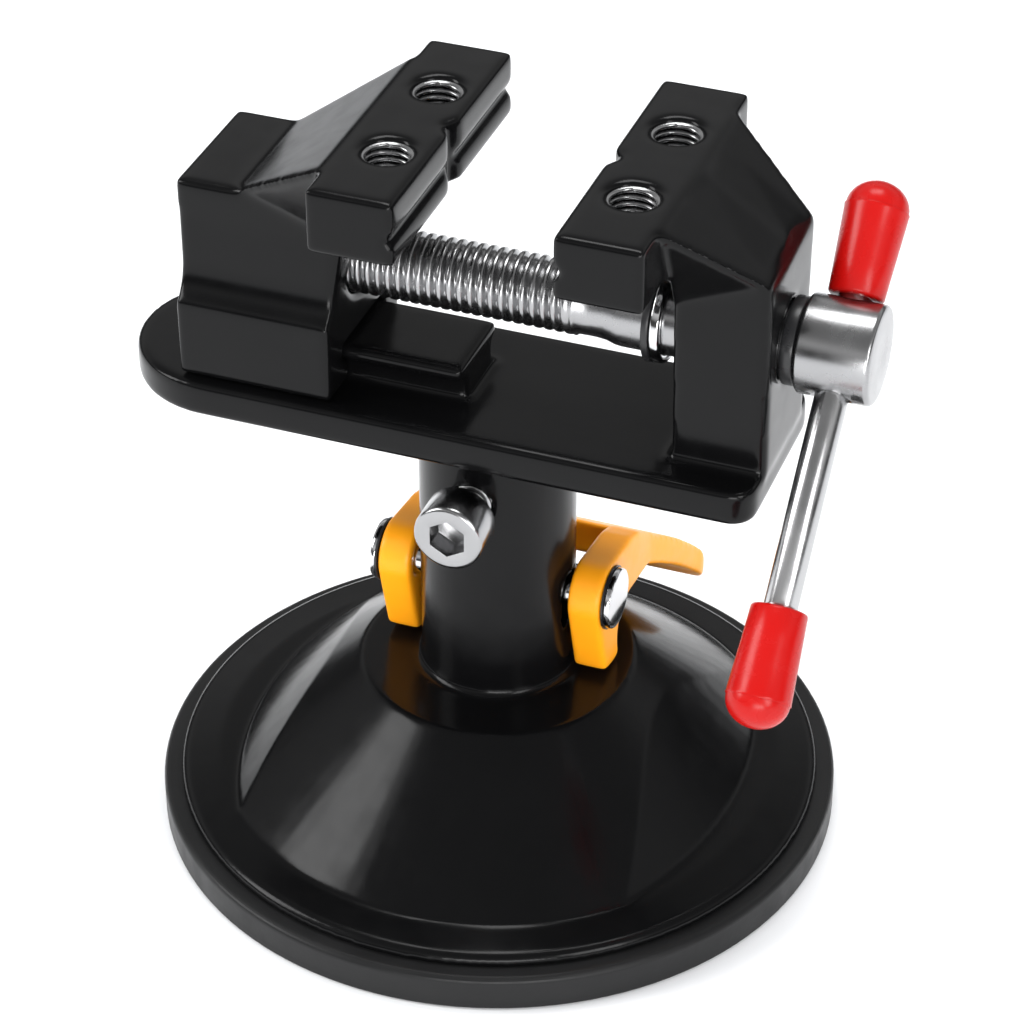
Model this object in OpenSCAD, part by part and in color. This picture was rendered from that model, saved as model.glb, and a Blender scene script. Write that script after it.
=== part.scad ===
// Small bench vise on a suction base: lengths in millimetres, +Z up.
// Origin: centre of the base on the surface it stands on. The spindle runs along X with its
// head at +X, the lock screw faces -Y and the handle of the cam lever lies at +Y.

/* [Suction base] */
// Outer diameter of the rubber suction disc
disc_d = 100; // [90:1:112]
// Height of the rubber rim
rim_h = 5.4; // [4.4:0.1:6.4]
// Thickness of the rubber membrane
membrane_t = 2.8; // [2:0.1:3.4]
// Step from the rubber's edge in to the housing's edge
rim_step = 2.6; // [1.8:0.1:3.6]
// Height of the housing's flange above the rubber
flange_h = 2.5; // [2:0.1:3.4]
// Width of the flat ring outside the cone
flange_w = 6; // [4.5:0.1:7]
// Radius of the flat shoulder at the top of the cone
shoulder_r = 20; // [19:0.5:22]
// Height of the shoulder above the bench
shoulder_z = 24.8; // [23:0.2:27]
// Wall thickness of the housing
housing_wall = 3; // [2.4:0.1:3.6]
// How far the scooped side panels are set off the centre line
scoop_shift = 22; // [20:0.5:24]
// Width of the ledge at the foot of a scoop
scoop_ledge = 4.3; // [3:0.1:5]

/* [Column] */
// Outer diameter of the column
column_d = 22.4; // [21:0.2:24]
// Height of the column's top edge above the bench
column_top_z = 64.9; // [62:0.1:67]
// Radius of the fillet at the column's foot
foot_fillet = 1.1; // [0.6:0.1:1.4]
// Floor between the swivel bore and the plunger bore
web_t = 3; // [2.4:0.1:4]
// Height of the lock screw's axis
lock_z = 58; // [56:0.1:59]

/* [Cam lever] */
// Height of the lever's pivot when the suction is on
pivot_z = 38.7; // [37:0.1:40]
// Diameter of the lever's rivet pin
pin_d = 5; // [4:0.1:5.4]
// Diameter of the rivet's flat heads
pin_head_d = 9; // [7:0.1:9.4]
// Thickness of each rivet head
pin_head_t = 1; // [0.8:0.1:1.6]
// Fall of the plunger for each radian that the lever turns
cam_rise = 4; // [3.4:0.1:4.4]
// Angle from locked to released in degrees
lever_swing = 52; // [40:1:52]
// Thickness of each fork arm
arm_t = 5.1; // [4:0.1:5.6]
// Gap between a fork arm and the column
arm_gap = 0.8; // [0.8:0.1:1.6]
// Radius of the arm's eye round the pin
eye_r = 5.1; // [4.6:0.1:5.6]
// Radius of the hollow between the cam's heel and the handle
heel_r = 4.4; // [3.8:0.1:4.8]
// Distance from the column's axis to the bridge between the arms
notch_y = 18.3; // [17.4:0.1:19]
// Half the width of the handle at its end
handle_half_w = 19.4; // [17.6:0.1:21]
// Distance from the column's axis to the handle's end
handle_reach = 43.6; // [41:0.2:46]
// How far the handle's end lies below the pivot
handle_drop = 23.3; // [21:0.1:24]
// Thickness of the handle's blade at its root
blade_t = 4.7; // [4:0.1:5.2]
// Thickness of the blade at its rounded end
blade_end_t = 3.2; // [2.8:0.1:3.6]
// Radius of the handle's two outer corners seen from above
handle_corner = 6; // [4:0.2:8]

/* [Plunger] */
// Diameter of the plunger rod
plunger_d = 12; // [10:0.5:13]
// Radius of the steel core plate in the rubber disc
core_r = 15; // [12:0.5:17]
// Thickness of the core plate
core_t = 2.2; // [1.6:0.1:2.8]
// Wire diameter of the return spring
spring_wire = 1.2; // [0.8:0.1:1.4]
// Length of the return spring when the suction is on
spring_l = 10; // [9:0.2:10.6]
// Number of coils of the return spring
spring_turns = 4; // [3:1:5]

/* [Lock screw] */
// Thread diameter of the lock screw
lock_d = 6; // [5:0.5:6]
// Diameter of its head
lock_head_d = 10; // [8.5:0.1:10.4]
// Height of its head
lock_head_h = 6; // [5:0.1:6.5]
// Thread showing between the head and the column
lock_gap = 2.8; // [2.2:0.1:4]
// Width across the flats of its hexagon socket
lock_af = 5; // [4:0.1:5.2]
// Thickness of the brass pad at the screw's tip
pad_t = 1.5; // [1.2:0.1:2]

/* [Swivel] */
// Diameter of the spigot under the bed
spigot_d = 14.4; // [12:0.2:15]
// Depth of the locking groove round the spigot
groove_depth = 1; // [0.6:0.1:1.5]

/* [Bed] */
// Gap between the column's top edge and the bed
bed_gap = 0.9; // [0.6:0.1:2]
// Thickness of the bed
bed_t = 5.3; // [4.6:0.1:6.4]
// Width of the bed
bed_w = 29.2; // [28:0.2:34]
// Distance from the column's axis to the bed's round end
bed_left = 53.6; // [52:0.2:60]
// Distance from the column's axis to the fixed jaw's outer face
block_right = 41.6; // [40.6:0.2:44]
// Radius of the bed's two square-end corners
bed_corner_r = 3.6; // [2:0.2:6]
// Width over the lips of the guide rail
rail_w = 14.2; // [13:0.2:16]
// Width of the rail's web
rail_web_w = 10.6; // [8:0.2:11]
// Height of the rail above the bed
rail_h = 5.9; // [5:0.1:7]
// Thickness of the rail's lips
rail_lip_t = 2.2; // [1.4:0.1:2.4]
// Distance from the column's axis to the rail's open end
rail_end = 2.6; // [1:0.2:5]

/* [Jaws] */
// Width of both jaws
jaw_w = 45; // [40:0.5:54]
// Thickness of a jaw plate along the spindle
plate_t = 12.4; // [11.6:0.1:14]
// Height of a jaw plate
plate_h = 9.6; // [8.6:0.1:11]
// Height of the jaws' top faces above the bed
jaw_rise = 39.7; // [37:0.1:43]
// Distance from the column's axis to the fixed jaw's gripping face
grip_x = 15.8; // [14:0.2:18]
// Gap between the jaws as drawn
jaw_open = 21.7; // [12:0.1:26]
// Width of the fixed jaw's block at its foot
block_w = 18; // [17.4:0.2:20]
// How much wider the fixed jaw's block is at its top
block_flare = 2.8; // [1:0.2:3.4]
// Width of the moving jaw's waist
waist_w = 20.8; // [19:0.2:21.4]
// Width of the moving jaw's skirt
skirt_w = 25.8; // [24:0.2:28]
// Height of the skirt
skirt_h = 12; // [10:0.2:13]
// Length of the moving jaw's body along the spindle
body_l = 22.8; // [20:0.2:26]
// Distance between the two tapped holes of each jaw
tap_pitch = 18.2; // [16:0.2:24]
// Diameter of the tapped holes at the thread's crest
tap_d = 6.8; // [5:0.1:8]
// Depth of the level groove in each gripping face
level_groove = 1.25; // [0.6:0.05:1.6]
// Depth of the upright groove in each gripping face
upright_groove = 1.5; // [0.8:0.1:2]

/* [Spindle] */
// Height of the spindle's axis above the bed
spindle_rise = 16.6; // [15.8:0.1:18.4]
// Diameter over the thread
thread_d = 10; // [8:0.1:10.2]
// Diameter of the plain shank
shank_d = 10.6; // [10.4:0.1:11.2]
// Distance the thread reaches left of the column's axis
thread_left = 33; // [31:0.5:36]
// Distance from the column's axis to the thread's run-out
thread_right = 12.4; // [8:0.2:13]
// Diameter of the spindle's head
head_d = 13.7; // [12.4:0.1:15]
// Length of the spindle's head
head_l = 10.4; // [8.4:0.1:12]
// Thickness of the black thrust washer
thrust_t = 1.9; // [1:0.1:2.4]
// Diameter of the thrust washer
thrust_d = 12.2; // [11.4:0.1:13]
// Diameter of the bright collar
collar_d = 13; // [11.8:0.1:13.4]
// Thickness of the bright collar
collar_t = 1.4; // [1:0.1:2.2]
// Distance that the collar stands off the fixed jaw
collar_play = 3; // [1:0.1:4]
// Thickness of the circlip
clip_t = 1; // [0.7:0.1:1.1]

/* [Tommy bar] */
// Diameter of the tommy bar
bar_d = 4.6; // [4:0.1:5.4]
// Angle of the bar from the upright
bar_angle = 45; // [0:5:90]
// Clear length of bar between the two caps
bar_clear = 42.7; // [34:0.1:46]
// Outer diameter of the vinyl caps
cap_d = 8.2; // [7:0.1:8.6]
// Length of the vinyl caps
cap_l = 16.2; // [12:0.1:18]

/* [Hidden] */
$fn = 72;
// radial clearance of a running fit, a fixed fit and a sliding face
run_fit = 0.05;
fixed_fit = 0.02;
slide_gap = 0.15;
// clearance of curved faces that move past each other
cam_gap = 0.3;
// overlap of cutters past the faces that they open
eps = 1;

// ---- heights and radii of the base ----
disc_r = disc_d / 2;
housing_r = disc_r - rim_step;
flange_top = rim_h + flange_h;
cone_foot_r = housing_r - flange_w;
cone_slope = (cone_foot_r - shoulder_r) / (shoulder_z - flange_top);
cavity_r = cone_foot_r - housing_wall * 1.3;
cavity_top = shoulder_z - housing_wall;
cavity_top_r = cavity_r - (cavity_top - rim_h) * cone_slope;
column_r = column_d / 2;
swivel_floor_z = lock_z - 11;
plunger_top_z = swivel_floor_z - web_t - 0.8;
plunger_r = plunger_d / 2;
plunger_bore_r = plunger_r + run_fit;
core_top_z = cavity_top - spring_l;
core_z = core_top_z - core_t;
core_bore_r = plunger_r * 0.55;
spigot_r = spigot_d / 2;
spigot_bore_r = spigot_r + run_fit;

// ---- cam lever ----
pin_r = pin_d / 2;
plunger_drop = cam_rise * lever_swing * PI / 180;
cam_h = pivot_z - shoulder_z - cam_gap;
arm_in = column_r + arm_gap;
arm_out = arm_in + arm_t;
washer_t = 0.3;
washer_gap = 0.05;
arm_crest = [notch_y - 5, 2.6];
arm_brow = [notch_y - 8.7, 3.9];
heel_c = [heel_r + 4.2, -heel_r - 5.6];
blade_root = [notch_y, -4.2];
blade_tip = [handle_reach - blade_end_t / 2, -handle_drop];
blade_bow = 1;

// ---- lock screw ----
lock_r = lock_d / 2;
lock_head_y = -(column_r + lock_gap);
pad_y = -(spigot_r - groove_depth + 0.1);
lock_tip_y = pad_y - pad_t;

// ---- bed and jaws ----
bed_z = column_top_z + bed_gap;
bed_top = bed_z + bed_t;
bed_r = bed_w / 2;
bed_end_x = block_right - 0.3;
rail_top = bed_top + rail_h;
jaw_top_z = bed_top + jaw_rise;
plate_z = jaw_top_z - plate_h;
fixed_back = grip_x + plate_t;
move_grip = grip_x - jaw_open;
move_back = move_grip - plate_t;
body_right = move_back - 1.5;
body_left = body_right - body_l;
rail_left = -body_left - 1;
roof_half = 17.3;
gusset_drop = 15.6;
tap_inset = plate_t * 0.48;

// ---- spindle ----
spindle_z = bed_top + spindle_rise;
thread_r = thread_d / 2;
shank_r = shank_d / 2;
head_r = head_d / 2;
thread_bore_r = thread_r + run_fit;
shank_bore_r = shank_r + run_fit;
washer_x = block_right + 0.1;
head_x = washer_x + thrust_t + 0.1;
bar_x = head_x + head_l / 2;
collar_x = fixed_back - collar_play - collar_t;
clip_x = collar_x - 0.1 - clip_t;
clip_turn = 47;

// ---- tommy bar ----
bar_r = bar_d / 2;
cap_r = cap_d / 2;
cap_floor = 1.5;
cap_rest = head_r + 0.25;
low_cap_s = bar_clear - cap_rest;

// ---- shared shapes ----
// a cylinder along X from x1 to x2 at height z
module rod_x(x1, x2, r, z = 0) {
    translate([x1, 0, z])
        rotate([0, 90, 0])
            cylinder(h = x2 - x1, r = r);
}

// a ring along X
module ring_x(x1, x2, r_out, r_in, z) {
    difference() {
        rod_x(x1, x2, r_out, z);
        rod_x(x1 - eps, x2 + eps, r_in, z);
    }
}

// a cylinder along Y from y1 to y2 at height z
module rod_y(y1, y2, r, z) {
    translate([0, y1, z])
        rotate([-90, 0, 0])
            cylinder(h = y2 - y1, r = r);
}

// a profile drawn in the Y-Z plane, given thickness from x1 to x2
module slab_x(x1, x2) {
    translate([x1, 0, 0])
        rotate([90, 0, 90])
            linear_extrude(x2 - x1) children();
}

// points of an arc about c, from angle a to angle b
function arc(c, r, a, b, n = 8) =
    [for (i = [0:n]) c + r * [cos(a + (b - a) * i / n), sin(a + (b - a) * i / n)]];

// ---- suction base ----
// outer part of the moulded rubber disc: the thick sealing rim
module suction_rim() {
    lip = 0.9;
    color("#1c1c1d")
        rotate_extrude()
            polygon(concat(
                [[cavity_r - 0.96, 2.2], [disc_r - 6, 0.9], [disc_r - 4.4, 0], [disc_r - 0.4, 0]],
                arc([disc_r - 0.4, 0.4], 0.4, -90, 0, 3),
                arc([disc_r - lip, rim_h - lip], lip, 0, 90, 5),
                [[cavity_r - 0.96, rim_h]]));
}

// inner part of the same moulding: the membrane, drawn up into a dome with the core plate
module suction_membrane() {
    dome_z = core_z - membrane_t;
    rim_in = cavity_r - 1;
    mid_r = (core_r + rim_in) / 2;
    color("#1c1c1d")
        rotate_extrude()
            polygon([[0, dome_z], [core_r, dome_z], [mid_r, dome_z * 0.62], [rim_in, 2.2],
                [rim_in, rim_h], [mid_r + 1, core_z * 0.72], [core_r + 2.5, core_z + 0.6],
                [core_r + 2.5, core_top_z], [core_r + fixed_fit, core_top_z],
                [core_r + fixed_fit, core_z], [0, core_z]]);
}

// pressed steel plate that the rubber is moulded round
module core_plate() {
    color("#8d9094")
        difference() {
            translate([0, 0, core_z])
                cylinder(h = core_t, r = core_r);
            translate([0, 0, core_z - eps])
                cylinder(h = core_t + 2 * eps, r = core_bore_r + fixed_fit);
        }
}

// die-cast housing: flange, cone with two scooped panels, shoulder and column
module base_housing() {
    scoop_foot = cone_foot_r - scoop_ledge + scoop_shift;
    scoop_slope = 0.942;
    color("#141415")
        difference() {
            union() {
                // flange with its rounded outer edge
                rotate_extrude()
                    polygon(concat(
                        [[0, rim_h], [housing_r, rim_h]],
                        arc([housing_r - 1.3, flange_top - 2], 1.3, 0, 75, 5),
                        [[cone_foot_r, flange_top], [0, flange_top]]));
                // cone, cut on two sides by wider cones set off the axis
                intersection() {
                    translate([0, 0, rim_h])
                        cylinder(h = shoulder_z - rim_h,
                            r1 = cone_foot_r + (flange_top - rim_h) * cone_slope,
                            r2 = shoulder_r);
                    for_both_scoops(scoop_foot, scoop_slope);
                }
                // column with its foot fillet
                rotate_extrude()
                    polygon(concat(
                        [[0, cavity_top], [column_r + foot_fillet, cavity_top]],
                        arc([column_r + foot_fillet, shoulder_z + foot_fillet], foot_fillet,
                            -90, -180, 6),
                        [[column_r, column_top_z - 0.4], [column_r - 0.4, column_top_z],
                            [0, column_top_z]]));
            }
            // hollow under the cone
            translate([0, 0, rim_h - eps])
                cylinder(h = eps + 0.001, r = cavity_r);
            translate([0, 0, rim_h])
                cylinder(h = cavity_top - rim_h, r1 = cavity_r, r2 = cavity_top_r);
            // guide bore of the plunger
            translate([0, 0, cavity_top - eps])
                cylinder(h = swivel_floor_z - web_t - cavity_top + eps, r = plunger_bore_r);
            // swivel bore
            translate([0, 0, swivel_floor_z])
                cylinder(h = column_top_z, r = spigot_bore_r);
            pin_slot();
            // tapped hole of the lock screw
            rod_y(-column_r - eps, 0, lock_r + run_fit, lock_z);
        }
}

// the common part of the two wide cones
module for_both_scoops(foot_r, slope) {
    h = shoulder_z - rim_h + 2 * eps;
    r1 = foot_r + (flange_top - rim_h + eps) * slope;
    intersection_for (side = [-1, 1])
        translate([side * scoop_shift, 0, rim_h - eps])
            cylinder(h = h, r1 = r1, r2 = r1 - h * slope);
}

// upright slot through the column's wall that the pin slides in
module pin_slot() {
    slot_r = pin_r + 0.3;
    low_z = pivot_z - plunger_drop;
    for (z = [low_z, pivot_z])
        rod_x(-column_r - eps, column_r + eps, slot_r, z);
    translate([-column_r - eps, -slot_r, low_z])
        cube([2 * (column_r + eps), 2 * slot_r, plunger_drop]);
}

// turned plunger that ties the rubber disc to the lever's pin
module plunger_rod() {
    color("#a7a9ac")
        difference() {
            union() {
                translate([0, 0, core_top_z])
                    cylinder(h = plunger_top_z - core_top_z - 1, r = plunger_r);
                translate([0, 0, plunger_top_z - 1])
                    cylinder(h = 1, r1 = plunger_r, r2 = plunger_r - 1);
                translate([0, 0, core_z])
                    cylinder(h = core_t, r = core_bore_r);
            }
            rod_x(-plunger_r - eps, plunger_r + eps, pin_r + fixed_fit, pivot_z);
        }
}

// compression spring round the plunger, between the housing and the core plate
module return_spring() {
    sides = 8;
    per_turn = 14;
    steps = per_turn * spring_turns;
    wire_r = spring_wire / 2;
    coil_r = plunger_r + 1 + spring_wire;
    z1 = core_top_z + wire_r + 0.05;
    z2 = cavity_top - wire_r - 0.05;
    pts = [for (i = [0:steps]) for (j = [0:sides - 1])
        let (a = 360 * i / per_turn, b = 360 * j / sides, r = coil_r + wire_r * cos(b))
            [r * cos(a), r * sin(a), z1 + (z2 - z1) * i / steps + wire_r * sin(b)]];
    skin = [for (i = [0:steps - 1]) for (j = [0:sides - 1])
        let (k = (j + 1) % sides)
            [i * sides + j, (i + 1) * sides + j, (i + 1) * sides + k, i * sides + k]];
    ends = [[for (j = [0:sides - 1]) j], [for (j = [0:sides - 1]) steps * sides + sides - 1 - j]];
    color("#b9bbbe")
        polyhedron(points = pts, faces = concat(skin, ends));
}

// rivet through the fork, the column's slot and the plunger
module lever_pin() {
    head_x1 = arm_out + washer_gap + washer_t;
    color("#d9dadc")
        union() {
            rod_x(-head_x1, head_x1, pin_r, pivot_z);
            for (side = [0, 1])
                mirror([side, 0, 0]) {
                    rod_x(head_x1, head_x1 + pin_head_t - 0.3, pin_head_d / 2, pivot_z);
                    translate([head_x1 + pin_head_t - 0.3, 0, pivot_z])
                        rotate([0, 90, 0])
                            cylinder(h = 0.3, r1 = pin_head_d / 2, r2 = pin_head_d / 2 - 0.3);
                }
        }
}

// black washers between the fork arms and the rivet's heads
module pin_washers() {
    color("#222222")
        for (side = [0, 1])
            mirror([side, 0, 0])
                ring_x(arm_out + washer_gap, arm_out + washer_gap + washer_t,
                    pin_head_d / 2 + 0.2, pin_r + fixed_fit, pivot_z);
}

// point of the cam at turn t in degrees: the pivot's height over the shoulder falls evenly
function cam_point(t) =
    let (h = cam_h - cam_rise * t * PI / 180)
        [cam_rise * cos(t) - h * sin(t), -cam_rise * sin(t) - h * cos(t)];

// point of the blade's section: t runs from root to end, side is 1 on top and -1 below
function blade_point(t, side) =
    let (run = blade_tip - blade_root, up = [-run[1], run[0]] / norm(run),
        half = ((1 - t) * blade_t + t * blade_end_t) / 2)
        blade_root + t * run + (side * half + 4 * blade_bow * t * (1 - t)) * up;

// moulded lever: two cam arms either side of the column, joined behind it by the handle
module cam_lever() {
    steps = 8;
    cam_arc = 25;
    cam = [for (i = [0:steps]) cam_point(cam_arc * (steps - i) / steps)];
    heel = [cam_rise + 0.8, 0.5 - cam_h];
    hollow = arc(heel_c, heel_r, 190, 85, 7);
    // the arm's end, sunk into the handle so that the two are one moulding
    root = [blade_point(0, -1.25), blade_point(0.15, -0.4), blade_point(0.15, 0.4),
        blade_point(0, 1.1)];
    eye = arc([0.3, 0.1], eye_r, 75, 190, 8);
    fall = atan2(blade_tip[1] - blade_root[1], blade_tip[0] - blade_root[0]);
    color("#ffa31a")
        difference() {
            translate([0, 0, pivot_z])
                union() {
                    for (side = [0, 1])
                        mirror([side, 0, 0])
                            slab_x(arm_in, arm_out)
                                polygon(concat(cam, [heel], hollow, root,
                                    [arm_crest, arm_brow], eye));
                    intersection() {
                        slab_x(-handle_half_w - eps, handle_half_w + eps)
                            polygon(concat(
                                [for (i = [-1:5]) blade_point(i / 5, 1)],
                                arc(blade_tip, blade_end_t / 2, fall + 75, fall - 75, 5),
                                [for (i = [5:-1:-1]) blade_point(i / 5, -1)]));
                        handle_plan();
                    }
                }
            rod_x(-arm_out - eps, arm_out + eps, pin_r + run_fit, pivot_z);
        }
}

// outline of the handle seen from above, flaring from the bridge to its rounded end
module handle_plan() {
    corner_y = handle_reach - handle_corner;
    corner_x = handle_half_w - handle_corner;
    translate([0, 0, -handle_drop - blade_t])
        linear_extrude(handle_drop + 2 * blade_t)
            union() {
                polygon([[-arm_out, notch_y], [arm_out, notch_y],
                    [handle_half_w, corner_y], [-handle_half_w, corner_y]]);
                for (side = [-1, 1])
                    translate([side * corner_x, corner_y])
                        circle(r = handle_corner);
                translate([-corner_x, corner_y - 1])
                    square([2 * corner_x, handle_corner + 1]);
            }
}

// ---- lock screw ----
// brass pad that the screw presses into the spigot's groove
module lock_pad() {
    color("#c9a24a")
        rod_y(lock_tip_y + 0.02, pad_y, lock_r - 0.4, lock_z);
}

// hexagon-socket cap screw
module lock_screw() {
    head_r2 = lock_head_d / 2;
    edge = 0.5;
    socket_r = lock_af / sqrt(3);
    socket_depth = lock_head_h * 0.55;
    color("#c4c6c9")
        difference() {
            union() {
                rod_y(lock_head_y, lock_tip_y, lock_r, lock_z);
                rod_y(lock_head_y - lock_head_h + edge, lock_head_y, head_r2, lock_z);
                translate([0, lock_head_y - lock_head_h, lock_z])
                    rotate([-90, 0, 0])
                        cylinder(h = edge, r1 = head_r2 - edge, r2 = head_r2);
            }
            translate([0, lock_head_y - lock_head_h - eps, lock_z])
                rotate([-90, 0, 0])
                    cylinder(h = socket_depth + eps, r = socket_r, $fn = 6);
        }
}

// ---- head ----
// cast bed with its spigot, guide rail and fixed jaw
module vise_bed() {
    color("#18181a")
        difference() {
            union() {
                bed_plate();
                guide_rail();
                fixed_jaw();
                spigot();
            }
            rod_x(grip_x, block_right + eps, shank_bore_r, spindle_z);
            tapped_holes(grip_x + plate_t - tap_inset);
            grip_grooves(grip_x, 0);
        }
}

// flat bed: a full round at one end and two small corners at the other
module bed_plate() {
    translate([0, 0, bed_z])
        linear_extrude(bed_t)
            union() {
                translate([-bed_left + bed_r, 0])
                    circle(r = bed_r);
                translate([-bed_left + bed_r, -bed_r])
                    square([bed_left - bed_r + bed_end_x - bed_corner_r, bed_w]);
                translate([0, -bed_r + bed_corner_r])
                    square([bed_end_x, bed_w - 2 * bed_corner_r]);
                for (side = [-1, 1])
                    translate([bed_end_x - bed_corner_r, side * (bed_r - bed_corner_r)])
                        circle(r = bed_corner_r);
            }
}

// T-shaped rail that the moving jaw hooks round
module guide_rail() {
    slab_x(-rail_left, -rail_end)
        polygon([[-rail_web_w / 2, bed_top - 0.5], [rail_web_w / 2, bed_top - 0.5],
            [rail_web_w / 2, rail_top - rail_lip_t], [rail_w / 2, rail_top - rail_lip_t],
            [rail_w / 2, rail_top], [-rail_w / 2, rail_top],
            [-rail_w / 2, rail_top - rail_lip_t], [-rail_web_w / 2, rail_top - rail_lip_t]]);
}

// flared block and jaw plate with the sloped gusset between them
module fixed_jaw() {
    foot = block_w / 2;
    top = foot + block_flare / 2;
    slab_x(fixed_back, block_right)
        polygon([[-foot, bed_top - 0.5], [foot, bed_top - 0.5], [top, plate_z],
            [-top, plate_z]]);
    jaw_plate(grip_x);
    jaw_gusset(fixed_back, block_right, top - 0.2, top - 0.7);
}

// jaw plate whose gripping or back face starts at x
module jaw_plate(x) {
    translate([x, -jaw_w / 2, plate_z])
        cube([plate_t, jaw_w, plate_h]);
}

// wedge from the top of a plate's back face at x1 down to the shelf at x2
module jaw_gusset(x1, x2, end_half, low_half) {
    low_z = jaw_top_z - gusset_drop;
    polyhedron(
        points = [[x1, -roof_half, jaw_top_z], [x1, roof_half, jaw_top_z],
            [x1, low_half, low_z], [x1, -low_half, low_z],
            [x2, -end_half, plate_z], [x2, end_half, plate_z]],
        faces = x2 > x1
            ? [[0, 1, 5, 4], [1, 2, 5], [0, 4, 3], [2, 3, 4, 5], [0, 3, 2, 1]]
            : [[4, 5, 1, 0], [5, 2, 1], [3, 4, 0], [5, 4, 3, 2], [1, 2, 3, 0]]);
}

// pair of tapped holes through a jaw plate, centred at x
module tapped_holes(x) {
    for (side = [-1, 1])
        translate([x, side * tap_pitch / 2, plate_z - eps])
            cylinder(h = plate_h + 2 * eps, r = tap_d / 2);
}

// one level and one upright V groove in the gripping face at x, turned by 0 or 180
module grip_grooves(x, turn) {
    translate([x, 0, 0])
        rotate([0, 0, turn]) {
            translate([0, -jaw_w, jaw_top_z - plate_h * 0.58])
                rotate([-90, 0, 0])
                    linear_extrude(2 * jaw_w)
                        vee(level_groove, 1.2);
            translate([0, 0, plate_z - eps])
                linear_extrude(plate_h + 2 * eps)
                    vee(upright_groove, 2.2);
        }
}

// V of the given depth, half as wide as half at the face
module vee(depth, half) {
    back = half * (1 + eps / depth);
    polygon([[-eps, back], [-eps, -back], [depth, 0]]);
}

// turned spigot with the groove that the lock screw's pad enters
module spigot() {
    g = groove_depth;
    low_z = swivel_floor_z + slide_gap;
    rotate_extrude()
        polygon([[0, low_z], [spigot_r - 0.8, low_z], [spigot_r, low_z + 0.8],
            [spigot_r, lock_z - lock_r - g], [spigot_r - g, lock_z - lock_r],
            [spigot_r - g, lock_z + lock_r], [spigot_r, lock_z + lock_r + g],
            [spigot_r, bed_z + 0.5], [0, bed_z + 0.5]]);
}

// cast moving jaw: plate, gusset, waisted body and the skirt that hooks the rail
module moving_jaw() {
    foot_z = bed_top + slide_gap;
    skirt_z = bed_top + skirt_h;
    hw = waist_w / 2;
    top = hw + 0.4;
    sw = skirt_w / 2;
    cove = sw - hw;
    cove_r = cove * 2.5;
    half = concat(
        [[sw, foot_z], [sw, skirt_z]],
        arc([hw + cove_r, skirt_z + cove * 2], cove_r, -127, -180, 6),
        [[hw, plate_z - 6], [top, plate_z]]);
    color("#18181a")
        difference() {
            union() {
                intersection() {
                    slab_x(body_left, move_back)
                        polygon(concat(half, [for (i = [len(half) - 1:-1:0])
                            [-half[i][0], half[i][1]]]));
                    translate([0, skirt_w, 0])
                        rotate([90, 0, 0])
                            linear_extrude(2 * skirt_w)
                                polygon([[body_left, foot_z], [body_right, foot_z],
                                    [body_right, spindle_z - 1], [move_back, plate_z - 5],
                                    [move_back, plate_z], [body_left, plate_z]]);
                }
                translate([move_back, 0, 0])
                    jaw_plate(0);
                jaw_gusset(move_back, body_left + body_l * 0.4, top - 0.2, top - 0.7);
            }
            rail_slot();
            rod_x(body_left - eps, move_back + eps, thread_bore_r, spindle_z);
            tapped_holes(move_back + plate_t - tap_inset);
            grip_grooves(move_grip, 180);
        }
}

// T-shaped channel round the rail
module rail_slot() {
    g = slide_gap;
    web = rail_web_w / 2 + g;
    lip = rail_w / 2 + g;
    low = rail_top - rail_lip_t - g;
    slab_x(body_left - eps, move_back + eps)
        polygon([[-web, bed_top - eps], [web, bed_top - eps], [web, low], [lip, low],
            [lip, rail_top + g], [-lip, rail_top + g], [-lip, low], [-web, low]]);
}

// ---- spindle ----
// threaded spindle turned in one piece with its head
module spindle() {
    relief_r = thread_r - 0.3;
    relief_l = 2.6;
    flare_l = 4;
    edge = 0.6;
    head_end = head_x + head_l;
    color("#c9cacc")
        difference() {
            rod_profile([
                [-thread_left, 0], [-thread_left, thread_r - 0.8], [-thread_left + 0.8, thread_r],
                [thread_right, thread_r], [thread_right, relief_r],
                [thread_right + relief_l, relief_r],
                [thread_right + relief_l + flare_l, shank_r],
                [head_x, shank_r], [head_x, head_r - edge], [head_x + edge, head_r],
                [head_end - edge, head_r], [head_end, head_r - edge], [head_end, 0]]);
            ring_x(clip_x - 0.05, clip_x + clip_t + 0.05, shank_r + eps, shank_r - 0.5,
                spindle_z);
            translate([bar_x, 0, spindle_z])
                rotate([-bar_angle, 0, 0])
                    translate([0, 0, -head_r - eps])
                        cylinder(h = 2 * (head_r + eps), r = bar_r + run_fit);
        }
}

// a profile of [x, radius] points turned about the spindle's axis
module rod_profile(points) {
    translate([0, 0, spindle_z])
        rotate([0, 90, 0])
            rotate_extrude()
                polygon([for (p = points) [p[1], p[0]]]);
}

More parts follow.
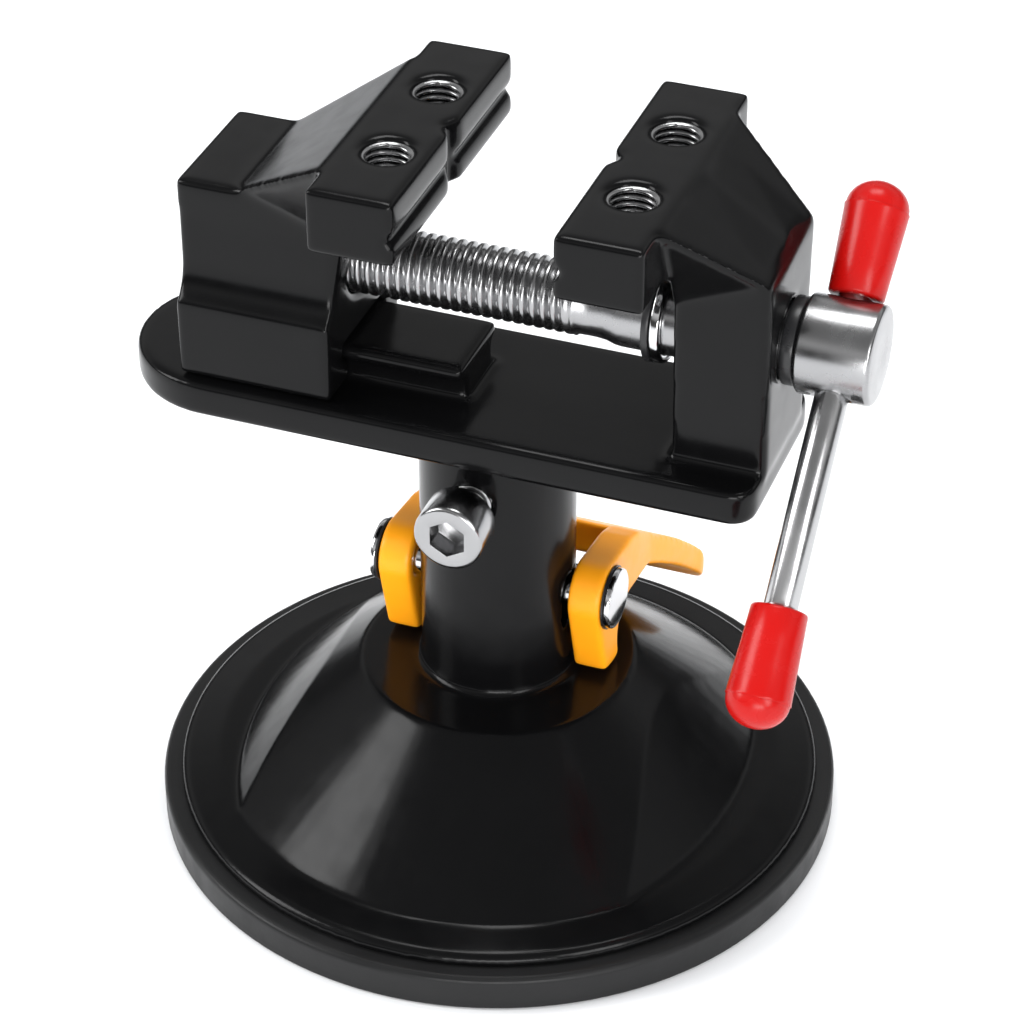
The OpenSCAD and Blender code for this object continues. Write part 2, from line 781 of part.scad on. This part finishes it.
// snap ring in the spindle's groove, with a pair of drilled ears
module circlip() {
    ring_r = shank_r + 1.3;
    ear_r = 1.4;
    ear_at = ring_r + 0.9;
    ear_turn = 26;
    bore_r = shank_r - 0.5 + fixed_fit;
    color("#2a2a2c")
        translate([clip_x, 0, spindle_z])
            rotate([clip_turn, 0, 0])
                rotate([0, 90, 0])
                    difference() {
                        union() {
                            cylinder(h = clip_t, r = ring_r);
                            for (side = [-1, 1])
                                rotate([0, 0, side * ear_turn])
                                    translate([ear_at, 0, 0])
                                        cylinder(h = clip_t, r = ear_r);
                        }
                        translate([0, 0, -eps])
                            cylinder(h = clip_t + 2 * eps, r = bore_r);
                        translate([0, 0, -eps])
                            linear_extrude(clip_t + 2 * eps)
                                polygon([[0, 0], [ring_r + 4, -(ring_r + 4) * tan(ear_turn - 12)],
                                    [ring_r + 4, (ring_r + 4) * tan(ear_turn - 12)]]);
                        for (side = [-1, 1])
                            rotate([0, 0, side * ear_turn])
                                translate([ear_at, 0, -eps])
                                    cylinder(h = clip_t + 2 * eps, r = 0.6);
                    }
}

// bright turned collar held by the circlip
module spindle_collar() {
    color("#e2e3e5")
        ring_x(collar_x, collar_x + collar_t, collar_d / 2, shank_bore_r, spindle_z);
}

// black washer between the fixed jaw and the spindle's head
module thrust_washer() {
    color("#1b1b1c")
        ring_x(washer_x, washer_x + thrust_t, thrust_d / 2, shank_bore_r, spindle_z);
}

// ---- tommy bar ----
// places children drawn along -Z from the spindle's axis on the slanted bar
module on_bar() {
    translate([bar_x, 0, spindle_z])
        rotate([-bar_angle, 0, 0])
            children();
}

// plain steel bar that slides through the spindle's head
module tommy_bar() {
    s_low = low_cap_s + cap_l - cap_floor;
    s_up = cap_rest + cap_l - cap_floor;
    color("#d4d5d7")
        on_bar()
            translate([0, 0, -s_low])
                cylinder(h = s_low + s_up, r = bar_r);
}

// dipped vinyl cap with a domed end, open end at z = 0 and dome towards -Z
module bar_cap() {
    dome = cap_r * 0.9;
    color("#ec2118")
        difference() {
            rotate_extrude()
                polygon(concat(
                    [[0, 0], [cap_r - 0.3, 0], [cap_r, -0.3]],
                    [for (i = [0:8]) [cap_r * cos(90 * i / 8),
                        -(cap_l - dome) - dome * sin(90 * i / 8)]]));
            translate([0, 0, -(cap_l - cap_floor)])
                cylinder(h = cap_l, r = bar_r + fixed_fit);
        }
}

module lower_cap() {
    on_bar()
        translate([0, 0, -low_cap_s])
            bar_cap();
}

module upper_cap() {
    on_bar()
        translate([0, 0, cap_rest])
            mirror([0, 0, 1])
                bar_cap();
}

suction_rim();
suction_membrane();
core_plate();
base_housing();
plunger_rod();
return_spring();
lever_pin();
pin_washers();
cam_lever();
lock_pad();
lock_screw();
vise_bed();
moving_jaw();
spindle();
circlip();
spindle_collar();
thrust_washer();
tommy_bar();
upper_cap();
lower_cap();
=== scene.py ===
import math
import bpy
from mathutils import Matrix, Vector


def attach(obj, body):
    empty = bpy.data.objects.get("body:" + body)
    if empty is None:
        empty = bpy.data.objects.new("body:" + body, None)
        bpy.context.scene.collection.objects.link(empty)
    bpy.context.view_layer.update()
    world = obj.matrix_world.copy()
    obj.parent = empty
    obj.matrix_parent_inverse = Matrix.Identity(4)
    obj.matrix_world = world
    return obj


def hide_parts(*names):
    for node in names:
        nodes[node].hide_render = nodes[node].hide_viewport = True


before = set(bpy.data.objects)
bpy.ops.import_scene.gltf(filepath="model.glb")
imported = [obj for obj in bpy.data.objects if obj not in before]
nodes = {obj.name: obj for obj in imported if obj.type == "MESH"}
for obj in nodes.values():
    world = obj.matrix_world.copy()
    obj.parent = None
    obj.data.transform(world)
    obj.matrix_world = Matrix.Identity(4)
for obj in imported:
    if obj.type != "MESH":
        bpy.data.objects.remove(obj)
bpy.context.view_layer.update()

scene = bpy.context.scene
scene.view_settings.view_transform = "Standard"

# ---------------------------------------------------------------------------
# Camera: a long lens looking down on the vise from its lock-screw side, a little
# to the spindle-head side, as a product photograph is taken.
azimuth, elevation, roll = (math.radians(a) for a in (20.386, 35.285, -0.118))
back = Vector((math.sin(azimuth) * math.cos(elevation),
               -math.cos(azimuth) * math.cos(elevation), math.sin(elevation)))
right = Vector((math.cos(azimuth), math.sin(azimuth), 0))
up = back.cross(right)
right, up = (math.cos(roll) * right + math.sin(roll) * up,
             math.cos(roll) * up - math.sin(roll) * right)
aim_right, aim_up, distance = 0.001895, 0.040308, 0.52958
camera_data = bpy.data.cameras.new("product_camera")
camera_data.lens = 123.595
camera_data.sensor_width = 36
camera_data.clip_start = 0.02
camera = bpy.data.objects.new("product_camera", camera_data)
scene.collection.objects.link(camera)
camera.matrix_world = (Matrix.Translation(aim_right * right + aim_up * up + distance * back)
                       @ Matrix((right, up, back)).transposed().to_4x4())
scene.camera = camera

# ---------------------------------------------------------------------------
# Studio: a pale floor, a white surround and soft boxes. The white surround is what
# the camera and the polished metal see; the lamps and a dimmer sky light the paint.
world = bpy.data.worlds.new("studio_surround")
scene.world = world
world.use_nodes = True
tree = world.node_tree
tree.nodes.clear()
path = tree.nodes.new("ShaderNodeLightPath")
seen = tree.nodes.new("ShaderNodeMath")
seen.operation = "MAXIMUM"
tree.links.new(path.outputs["Is Glossy Ray"], seen.inputs[0])
tree.links.new(path.outputs["Is Transmission Ray"], seen.inputs[1])
sky = tree.nodes.new("ShaderNodeBackground")
sky.inputs["Color"].default_value = (0.95, 0.97, 1, 1)
sky.inputs["Strength"].default_value = 0.95
# polished metal sees pale walls with a dimmer band low down, as in a room with dark corners
coord = tree.nodes.new("ShaderNodeTexCoord")
split = tree.nodes.new("ShaderNodeSeparateXYZ")
tree.links.new(coord.outputs["Generated"], split.inputs[0])
walls = tree.nodes.new("ShaderNodeValToRGB")
walls.color_ramp.elements[0].position = 0.0
walls.color_ramp.elements[0].color = (0.6, 0.6, 0.6, 1)
walls.color_ramp.elements[1].position = 1.0
walls.color_ramp.elements[1].color = (0.25, 0.25, 0.25, 1)
for place, grey in ((0.4, 0.55), (0.48, 0.08), (0.6, 0.05), (0.66, 0.4), (0.74, 0.7),
                    (0.84, 0.3)):
    walls.color_ramp.elements.new(place).color = (grey, grey, grey, 1)
height = tree.nodes.new("ShaderNodeMapRange")
height.inputs["From Min"].default_value = -1
tree.links.new(split.outputs["Z"], height.inputs["Value"])
tree.links.new(height.outputs["Result"], walls.inputs["Fac"])
mirror_view = tree.nodes.new("ShaderNodeBackground")
tree.links.new(walls.outputs["Color"], mirror_view.inputs["Color"])
white = tree.nodes.new("ShaderNodeBackground")
lit = tree.nodes.new("ShaderNodeMixShader")
tree.links.new(seen.outputs[0], lit.inputs["Fac"])
tree.links.new(sky.outputs[0], lit.inputs[1])
tree.links.new(mirror_view.outputs[0], lit.inputs[2])
shown = tree.nodes.new("ShaderNodeMixShader")
tree.links.new(path.outputs["Is Camera Ray"], shown.inputs["Fac"])
tree.links.new(lit.outputs[0], shown.inputs[1])
tree.links.new(white.outputs[0], shown.inputs[2])
world_out = tree.nodes.new("ShaderNodeOutputWorld")
tree.links.new(shown.outputs[0], world_out.inputs["Surface"])


def soft_box(name, place, target, width, length, watts):
    """An area lamp at place, in metres, facing target."""
    data = bpy.data.lights.new(name, "AREA")
    data.shape = "RECTANGLE"
    data.size, data.size_y = width, length
    data.energy = watts
    lamp = bpy.data.objects.new(name, data)
    scene.collection.objects.link(lamp)
    lamp.matrix_world = (Matrix.Translation(place)
                         @ (Vector(target) - Vector(place)).to_track_quat("-Z", "Y")
                         .to_matrix().to_4x4())
    return lamp


middle = (0, 0, 0.05)
soft_box("left_box", (-0.75, -0.35, 0.55), middle, 0.35, 0.6, 5)
soft_box("right_box", (0.7, -0.55, 0.42), middle, 0.3, 0.5, 3)
soft_box("top_box", (-0.05, 0.25, 0.95), middle, 0.5, 0.35, 4)
soft_box("front_box", (0.3, -0.85, 0.16), middle, 0.5, 0.25, 3.5)

bpy.ops.mesh.primitive_plane_add(size=8, location=(0, 0, -0.0002))
floor = bpy.context.object
floor.name = "studio_floor"
paper = bpy.data.materials.new("floor_paper")
paper.use_nodes = True
tree = paper.node_tree
bsdf = tree.nodes["Principled BSDF"]
bsdf.inputs["Base Color"].default_value = (0.93, 0.93, 0.93, 1)
bsdf.inputs["Roughness"].default_value = 0.9
bsdf.inputs["Specular IOR Level"].default_value = 0.0
floor.data.materials.append(paper)

# ---------------------------------------------------------------------------
# Rubber suction disc: one moulding with a satin black skin, its thick rim on the
# bench and its membrane drawn up under the housing. Fine mould texture, no gloss.


def noise_on(tree, scale, detail=2.0):
    """A noise on the piece's own coordinates; scale is in waves for each metre."""
    coord = tree.nodes.new("ShaderNodeTexCoord")
    noise = tree.nodes.new("ShaderNodeTexNoise")
    noise.inputs["Scale"].default_value = scale
    noise.inputs["Detail"].default_value = detail
    tree.links.new(coord.outputs["Object"], noise.inputs["Vector"])
    return noise


def vary(tree, noise, socket, low, high):
    """Lets a noise move a socket between low and high."""
    ramp = tree.nodes.new("ShaderNodeMapRange")
    ramp.inputs["From Min"].default_value = 0.3
    ramp.inputs["From Max"].default_value = 0.7
    ramp.inputs["To Min"].default_value = low
    ramp.inputs["To Max"].default_value = high
    tree.links.new(noise.outputs["Fac"], ramp.inputs["Value"])
    tree.links.new(ramp.outputs["Result"], socket)


def relief(tree, bsdf, height, strength, distance):
    """Raises the surface by a height, over any relief that it already has."""
    bump = tree.nodes.new("ShaderNodeBump")
    bump.inputs["Strength"].default_value = strength
    bump.inputs["Distance"].default_value = distance
    tree.links.new(height, bump.inputs["Height"])
    for link in bsdf.inputs["Normal"].links:
        tree.links.new(link.from_socket, bump.inputs["Normal"])
    tree.links.new(bump.outputs["Normal"], bsdf.inputs["Normal"])


def finish_of(name, colour, metal, specular, rough, speckle, grain):
    """A finish with its colour, a roughness that varies and a fine surface relief.
    rough is (low, high), speckle the colour's variation, grain (scale, strength, metres)."""
    material = bpy.data.materials.new(name)
    material.use_nodes = True
    tree = material.node_tree
    bsdf = tree.nodes["Principled BSDF"]
    bsdf.inputs["Metallic"].default_value = metal
    bsdf.inputs["Specular IOR Level"].default_value = specular
    tint = tree.nodes.new("ShaderNodeMix")
    tint.data_type = "RGBA"
    tint.inputs["A"].default_value = (*[c * (1 - speckle) for c in colour], 1)
    tint.inputs["B"].default_value = (*[min(1, c * (1 + speckle)) for c in colour], 1)
    tree.links.new(noise_on(tree, 90.0).outputs["Fac"], tint.inputs["Factor"])
    tree.links.new(tint.outputs["Result"], bsdf.inputs["Base Color"])
    vary(tree, noise_on(tree, 260.0, 4.0), bsdf.inputs["Roughness"], *rough)
    relief(tree, bsdf, noise_on(tree, grain[0], 3.0).outputs["Fac"], grain[1], grain[2])
    return material


def dress(node, material):
    """Gives a CAD node one finish."""
    nodes[node].data.materials.clear()
    nodes[node].data.materials.append(material)


rubber = finish_of("disc_rubber", (0.009, 0.009, 0.0093), 0.0, 0.25, (0.34, 0.46), 0.25,
                   (1400.0, 0.25, 0.00006))
for node in ("suction_rim", "suction_membrane"):
    dress(node, rubber)

# ---------------------------------------------------------------------------
# Core plate, return spring and plunger: pressed steel, drawn wire and a turned rod, all
# zinc plated and out of sight under the housing.
zinc = finish_of("zinc_plate", (0.5, 0.51, 0.53), 1.0, 0.5, (0.28, 0.4), 0.12,
                 (900.0, 0.12, 0.00003))
for node in ("core_plate", "return_spring", "plunger_rod"):
    dress(node, zinc)

# ---------------------------------------------------------------------------
# Base housing: a zinc casting in smooth black stove enamel. The enamel is glossy, lies a
# little uneven and rounds every edge of the casting. Its skin has a fine orange peel.
enamel = finish_of("black_enamel", (0.003, 0.003, 0.0032), 0.0, 0.17, (0.15, 0.22), 0.2,
                   (420.0, 0.08, 0.00005))
relief(enamel.node_tree, enamel.node_tree.nodes["Principled BSDF"],
       noise_on(enamel.node_tree, 2600.0, 2.0).outputs["Fac"], 0.04, 0.00002)


def select_none():
    for thing in bpy.context.selected_objects:
        thing.select_set(False)


def copy_of(node, name):
    """The solid's own skin as one welded mesh with its flat faces whole."""
    select_none()
    piece = bpy.data.objects.new(name, nodes[node].data.copy())
    scene.collection.objects.link(piece)
    piece.data.materials.clear()
    piece.select_set(True)
    bpy.context.view_layer.objects.active = piece
    bpy.ops.object.mode_set(mode="EDIT")
    bpy.ops.mesh.select_all(action="SELECT")
    bpy.ops.mesh.remove_doubles(threshold=2e-6)
    bpy.ops.mesh.dissolve_limited(angle_limit=math.radians(0.4))
    bpy.ops.object.mode_set(mode="OBJECT")
    return piece


def use(piece, kind, **values):
    """Adds a modifier to a piece and applies it."""
    select_none()
    piece.select_set(True)
    bpy.context.view_layer.objects.active = piece
    modifier = piece.modifiers.new(kind.lower(), kind)
    for key, value in values.items():
        setattr(modifier, key, value)
    bpy.ops.object.modifier_apply(modifier=modifier.name)
    return piece


def rounded(piece, width, sharp=32, steps=3):
    """Rounds every edge sharper than an angle in degrees."""
    use(piece, "BEVEL", width=width, segments=steps, limit_method="ANGLE",
        angle_limit=math.radians(sharp), use_clamp_overlap=False, miter_outer="MITER_ARC",
        profile=0.5)
    return smooth(piece)


def smooth(piece, sharp=38):
    """Smooth shading over every edge blunter than an angle in degrees."""
    select_none()
    piece.select_set(True)
    bpy.context.view_layer.objects.active = piece
    bpy.ops.object.shade_smooth_by_angle(angle=math.radians(sharp))
    return piece


def stand_for(piece, body, slot, material, *replaced):
    """Fits a piece to its body, its finish and the CAD nodes that it stands for."""
    piece.data.materials.clear()
    piece.data.materials.append(material)
    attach(piece, body)
    if replaced:
        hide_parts(*replaced)
    return piece


def cast(node, name, grain, soften, keep, *added):
    """A copy of a solid with every edge and inside corner rounded as a mould leaves it.
    grain is the size in metres of the faces that it is rebuilt from, soften how far the
    edges are worn round, keep the share of faces left on its flat sides; what is added
    is cast with it."""
    piece = copy_of(node, name)
    for part in added:
        part.select_set(True)
    if added:
        bpy.ops.object.join()
    use(piece, "REMESH", mode="VOXEL", voxel_size=grain, use_smooth_shade=True)
    use(piece, "SMOOTH", factor=0.5, iterations=soften)
    use(piece, "DECIMATE", decimate_type="COLLAPSE", ratio=keep)
    return smooth(piece, 180)


housing = cast("base_housing", "housing_casting", 0.0004, 8, 0.5)
stand_for(housing, "base", "black_enamel", enamel, "base_housing")

# ---------------------------------------------------------------------------
# Cam lever: one orange nylon moulding with a satin skin, rounded all over, a fork of two
# cam arms with the handle behind them.
nylon = finish_of("orange_nylon", (1.0, 0.36, 0.008), 0.0, 0.3, (0.30, 0.42), 0.04,
                  (900.0, 0.12, 0.00004))
nylon.node_tree.nodes["Principled BSDF"].inputs["Subsurface Weight"].default_value = 0.08
nylon.node_tree.nodes["Principled BSDF"].inputs["Subsurface Scale"].default_value = 0.002
lever = cast("cam_lever", "lever_moulding", 0.00022, 70, 0.5)
stand_for(lever, "lever", "orange_plastic", nylon, "cam_lever")

# ---------------------------------------------------------------------------
# Rivet and its black washers: a bright plated pin, set over at both ends.
chrome = finish_of("bright_chrome", (0.66, 0.66, 0.67), 1.0, 0.5, (0.07, 0.13), 0.04,
                   (600.0, 0.05, 0.00002))
blackened = finish_of("black_oxide", (0.014, 0.014, 0.015), 0.0, 0.5, (0.24, 0.36), 0.25,
                      (1500.0, 0.15, 0.00003))
rivet = rounded(copy_of("lever_pin", "rivet_pin"), 0.00022, 30, 3)
stand_for(rivet, "plunger", "bright_chrome", chrome, "lever_pin")
dress("pin_washers", blackened)

# ---------------------------------------------------------------------------
# Bed with its fixed jaw, and the moving jaw: castings in the housing's enamel, with
# rounded edges. The roof behind the fixed jaw has a low crease on the mould's parting
# line, and the moving jaw is bored clear of the spindle's crests.
gusset_top, gusset_foot = (0.0290, 0.11022), (0.0405, 0.10199)
lean_x, lean_z = 0.582, 0.812
ridge_top, ridge_foot, ridge_sunk = 0.0004, 0.0008, 0.0002
ridge_half, crease_half = 0.0003, 0.0108
select_none()
bpy.ops.mesh.primitive_cube_add(size=2)
crease = bpy.context.object
crease.name = "roof_crease"
for vertex in crease.data.vertices:
    x, z = gusset_foot if vertex.co.x > 0 else gusset_top
    if vertex.co.z > 0:
        half, rise = ridge_half, ridge_foot if vertex.co.x > 0 else ridge_top
    else:
        half, rise = crease_half, -ridge_sunk
    vertex.co = (x + lean_x * rise, half * vertex.co.y, z + lean_z * rise)
bed = cast("vise_bed", "bed_casting", 0.0003, 65, 0.5, crease)
stand_for(bed, "head", "black_enamel", enamel, "vise_bed")
jaw = cast("moving_jaw", "jaw_casting", 0.0003, 65, 0.5)
spindle_z, bore_r = 0.0877, 0.00516
for vertex in jaw.data.vertices:
    x, y, z = vertex.co
    off = math.hypot(y, z - spindle_z)
    if 0 < off < bore_r:
        vertex.co = (x, y * bore_r / off, spindle_z + (z - spindle_z) * bore_r / off)
stand_for(jaw, "jaw", "black_enamel", enamel, "moving_jaw")

# ---------------------------------------------------------------------------
# Threads of the tapped holes: bright metal that the tap bared, two holes in each jaw.
# This and every other turned piece is drawn along X and then put in its place.
steel = finish_of("turned_steel", (0.36, 0.36, 0.365), 1.0, 0.5, (0.2, 0.3), 0.08,
                  (1800.0, 0.1, 0.00002))
# the lathe's fine lines: a noise drawn out round the spindle, so that it changes along X
tree = steel.node_tree
lines = noise_on(tree, 1.0, 3.0)
drawn = tree.nodes.new("ShaderNodeMapping")
drawn.inputs["Scale"].default_value = (5200.0, 60.0, 60.0)
tree.links.new(lines.inputs["Vector"].links[0].from_socket, drawn.inputs["Vector"])
tree.links.new(drawn.outputs["Vector"], lines.inputs["Vector"])
relief(tree, tree.nodes["Principled BSDF"], lines.outputs["Fac"], 0.14, 0.00002)
rings_per_turn = 10


def turned(name, outline, steps=64):
    """A piece turned about X: outline is its half section as (x, radius) points."""
    select_none()
    bpy.ops.mesh.primitive_plane_add(size=0.001)
    piece = bpy.context.object
    piece.name = name
    bpy.ops.object.mode_set(mode="EDIT")
    bpy.ops.mesh.merge(type="CENTER")
    bpy.ops.transform.translate(value=(outline[0][0], 0, outline[0][1]))
    for here, there in zip(outline, outline[1:]):
        bpy.ops.mesh.extrude_vertices_move(TRANSFORM_OT_translate={
            "value": (there[0] - here[0], 0, there[1] - here[1])})
    bpy.ops.mesh.select_all(action="SELECT")
    bpy.ops.mesh.spin(steps=steps, angle=math.tau, center=(0, 0, 0), axis=(1, 0, 0))
    bpy.ops.mesh.select_all(action="SELECT")
    bpy.ops.mesh.remove_doubles(threshold=0.000002)
    bpy.ops.mesh.normals_make_consistent(inside=False)
    bpy.ops.object.mode_set(mode="OBJECT")
    return piece


def thread_line(x1, x2, pitch, r):
    """The points of an outline along a length that a thread is cut in."""
    rings = round((x2 - x1) / pitch * rings_per_turn)
    return [(x1 + (x2 - x1) * i / rings, r) for i in range(rings + 1)]


def cut_thread(piece, x1, x2, pitch, r, root, fade):
    """Cuts a right-hand V thread between x1 and x2 of a turned piece, from radius r to
    root; it runs out over the length fade at x2. The root's flat and the flank are
    shares of half a pitch, and run_in is the depth that the first turn starts at."""
    root_flat, flank, run_in = 0.08, 0.6, 0.25
    for vertex in piece.data.vertices:
        x, y, z = vertex.co
        radius = math.hypot(y, z)
        if not x1 - 1e-6 < x < x2 + 1e-6 or abs(radius - r) > 2e-6:
            continue
        phase = (x / pitch - math.atan2(z, y) / math.tau) % 1
        slope = min(1, max(0, (abs(phase - 0.5) * 2 - root_flat) / flank))
        depth = (1 - slope) * min(1, (x2 - x) / fade) * min(1, run_in + (x - x1) / pitch)
        scale = 1 + (root / r - 1) * depth
        vertex.co = (x, y * scale, z * scale)


tapped_r, tapped_root, tapped_pitch = 0.0030, 0.00352, 0.001
hole_top, hole_low = 0.1101, 0.10155
hole_l = hole_top - hole_low
bore = turned("tapped_thread", [(0.0, 0.0036), (0.0, 0.0033)]
              + thread_line(0.0002, hole_l - 0.0002, tapped_pitch, tapped_r)
              + [(hole_l, 0.0033), (hole_l, 0.0036), (0.0, 0.0036)], 40)
cut_thread(bore, 0.0002, hole_l - 0.0002, tapped_pitch, tapped_r, tapped_root, 0.0001)
smooth(bore, 75)
for number, (x, y, body) in enumerate(((0.02225, -0.0091, "head"), (0.02225, 0.0091, "head"),
                                       (-0.01185, -0.0091, "jaw"), (-0.01185, 0.0091, "jaw"))):
    thread = bore.copy()
    thread.data = bore.data.copy()
    thread.name = f"tapped_thread_{number + 1}"
    scene.collection.objects.link(thread)
    thread.data.transform(Matrix.Translation((x, y, hole_low))
                          @ Matrix.Rotation(-math.pi / 2, 4, "Y"))
    stand_for(thread, body, "turned_steel", steel)
bpy.data.objects.remove(bore)

# ---------------------------------------------------------------------------
# Spindle: one turned steel bar with its thread, a plain neck, the circlip's groove and a
# thick head, cross drilled and countersunk for the tommy bar.
bar_x = 0.0489
thread_r, thread_root, spindle_pitch = 0.005, 0.00422, 0.0015
thread_from, thread_to = -0.033, 0.0124
cut_from = thread_from + 0.0006
spindle = turned("spindle_turned", [(thread_from, 0), (thread_from, 0.0042)]
                 + thread_line(cut_from, thread_to, spindle_pitch, thread_r)
                 + [(0.0127, 0.0047), (0.0152, 0.00468), (0.0168, 0.00482), (0.0181, 0.0052),
                    (0.0190, 0.0053), (0.02262, 0.0053), (0.02265, 0.0048),
                    (0.02375, 0.0048), (0.02378, 0.0053), (0.0437, 0.0053), (0.0437, 0.0062),
                    (0.04378, 0.00655), (0.0440, 0.00678), (0.0443, 0.00685),
                    (0.0534, 0.00685), (0.05372, 0.00679), (0.05395, 0.0066),
                    (0.05406, 0.00632), (0.0541, 0.006), (0.0541, 0.003), (0.0541, 0)])
cut_thread(spindle, cut_from, thread_to, spindle_pitch, thread_r, thread_root, 0.0022)
drill = turned("drill", [(-0.009, 0), (-0.009, 0.0029), (-0.0068, 0.0029), (-0.0063, 0.00236),
                         (0.0063, 0.00236), (0.0068, 0.0029), (0.009, 0.0029), (0.009, 0)], 48)
along_bar = Matrix.Translation((bar_x, 0, spindle_z)) @ Matrix.Rotation(
    math.radians(-45), 4, "X") @ Matrix.Rotation(-math.pi / 2, 4, "Y")
drill.data.transform(along_bar)
spindle.data.transform(Matrix.Translation((0, 0, spindle_z)))
use(spindle, "BOOLEAN", operation="DIFFERENCE", object=drill, solver="EXACT")
bpy.data.objects.remove(drill)
smooth(spindle, 75)
stand_for(spindle, "screw", "turned_steel", steel, "spindle")

# ---------------------------------------------------------------------------
# Bright collar, black circlip and black thrust washer on the spindle: a turned ring, a
# punched snap ring with its two drilled ears, and a washer under the head.
collar = rounded(copy_of("spindle_collar", "bright_collar"), 0.0003, 30, 3)
stand_for(collar, "screw", "bright_chrome", chrome, "spindle_collar")
clip = rounded(copy_of("circlip", "snap_ring"), 0.00012, 40, 2)
stand_for(clip, "screw", "black_steel", blackened, "circlip")
washer = rounded(copy_of("thrust_washer", "thrust_ring"), 0.0003, 30, 3)
stand_for(washer, "screw", "black_steel", blackened, "thrust_washer")

# ---------------------------------------------------------------------------
# Lock screw: an M6 cap screw, bright zinc, with a rounded head, a hexagon socket and its
# thread showing at the column; a brass pad sits at its tip.
plated = finish_of("bright_zinc", (0.38, 0.38, 0.385), 1.0, 0.5, (0.15, 0.25), 0.06,
                   (1500.0, 0.1, 0.00002))
brass = finish_of("turned_brass", (0.72, 0.5, 0.2), 1.0, 0.5, (0.25, 0.35), 0.05,
                  (1500.0, 0.1, 0.00002))
lock_z = 0.058
head_y, head_h, lock_l = -0.020, 0.006, 0.01222
screw_from, screw_to = head_h + 0.0001, lock_l - 0.0004
screw_r, screw_root, screw_pitch = 0.003, 0.00242, 0.001
socket_flat = 0.0025
screw = turned("cap_screw", [(0, 0), (0, 0.0043), (0.00007, 0.00468), (0.00028, 0.00492),
                             (0.00065, 0.005), (0.0055, 0.005), (0.00582, 0.0049),
                             (head_h, 0.0046), (head_h, 0.003)]
               + thread_line(screw_from, screw_to, screw_pitch, screw_r)
               + [(lock_l, 0.0026), (lock_l, 0)], 56)
cut_thread(screw, screw_from, screw_to, screw_pitch, screw_r, screw_root, 0.0001)
select_none()
bpy.ops.mesh.primitive_cylinder_add(vertices=6, radius=socket_flat / math.cos(math.pi / 6),
                                    depth=0.008, location=(-0.0007, 0, 0),
                                    rotation=(0, math.pi / 2, 0))
hexagon = bpy.context.object
bpy.ops.object.transform_apply(location=True, rotation=True, scale=True)
hexagon.data.transform(Matrix.Rotation(math.radians(30), 4, "X"))
use(screw, "BOOLEAN", operation="DIFFERENCE", object=hexagon, solver="EXACT")
bpy.data.objects.remove(hexagon)
use(screw, "BEVEL", width=0.00012, segments=2, limit_method="ANGLE",
    angle_limit=math.radians(50), use_clamp_overlap=True)
screw.data.transform(Matrix.Translation((0, head_y, lock_z))
                     @ Matrix.Rotation(math.pi / 2, 4, "Z"))
smooth(screw, 65)
stand_for(screw, "lock", "screw_steel", plated, "lock_screw")
dress("lock_pad", brass)

# ---------------------------------------------------------------------------
# Tommy bar: a drawn steel bar with turned-off ends, brushed along its length and held in
# the head by its caps.
drawn_steel = finish_of("drawn_steel", (0.5, 0.5, 0.505), 1.0, 0.5, (0.17, 0.27), 0.06,
                        (900.0, 0.08, 0.00002))
bar_r, bar_low, bar_high = 0.0023, -0.0503, 0.0218
bar = turned("drawn_bar", [(bar_low, 0), (bar_low, bar_r - 0.0004),
                           (bar_low + 0.0004, bar_r), (bar_high - 0.0004, bar_r),
                           (bar_high, bar_r - 0.0004), (bar_high, 0)], 56)
bar.data.transform(along_bar)
smooth(bar, 60)
stand_for(bar, "bar", "bright_chrome", drawn_steel, "tommy_bar")

# ---------------------------------------------------------------------------
# Vinyl caps on the tommy bar: dipped, bright red and glossy, wider towards the dome, with
# a thin flash line where the dome begins.
vinyl = finish_of("red_vinyl", (0.42, 0.0035, 0.0025), 0.0, 0.25, (0.22, 0.32), 0.06,
                  (500.0, 0.1, 0.00005))
cap_l, bar_hole = 0.0162, 0.00232
dome_x, dome_r = 0.0124, 0.00432
cap = turned("bar_cap", [(cap_l - 0.0015, 0), (cap_l - 0.0015, bar_hole), (0, bar_hole),
                         (0, 0.0034), (0.00012, 0.0037), (0.0004, 0.00386),
                         (0.004, 0.00402), (0.008, 0.00422), (dome_x - 0.0004, 0.00442),
                         (dome_x - 0.00015, 0.00447), (dome_x, 0.00441)]
             + [(dome_x + (cap_l - dome_x) * math.sin(a * math.pi / 20),
                 dome_r * math.cos(a * math.pi / 20)) for a in range(11)], 48)
smooth(cap, 50)
for name, node, low, turn in (("cap_above", "upper_cap", 0.0071, 0),
                              ("cap_below", "lower_cap", 0.0356, math.pi)):
    dipped = cap.copy()
    dipped.data = cap.data.copy()
    dipped.name = name
    scene.collection.objects.link(dipped)
    dipped.data.transform(along_bar @ Matrix.Rotation(turn, 4, "Y")
                          @ Matrix.Translation((low, 0, 0)))
    stand_for(dipped, "bar", "red_vinyl", vinyl, node)
bpy.data.objects.remove(cap)
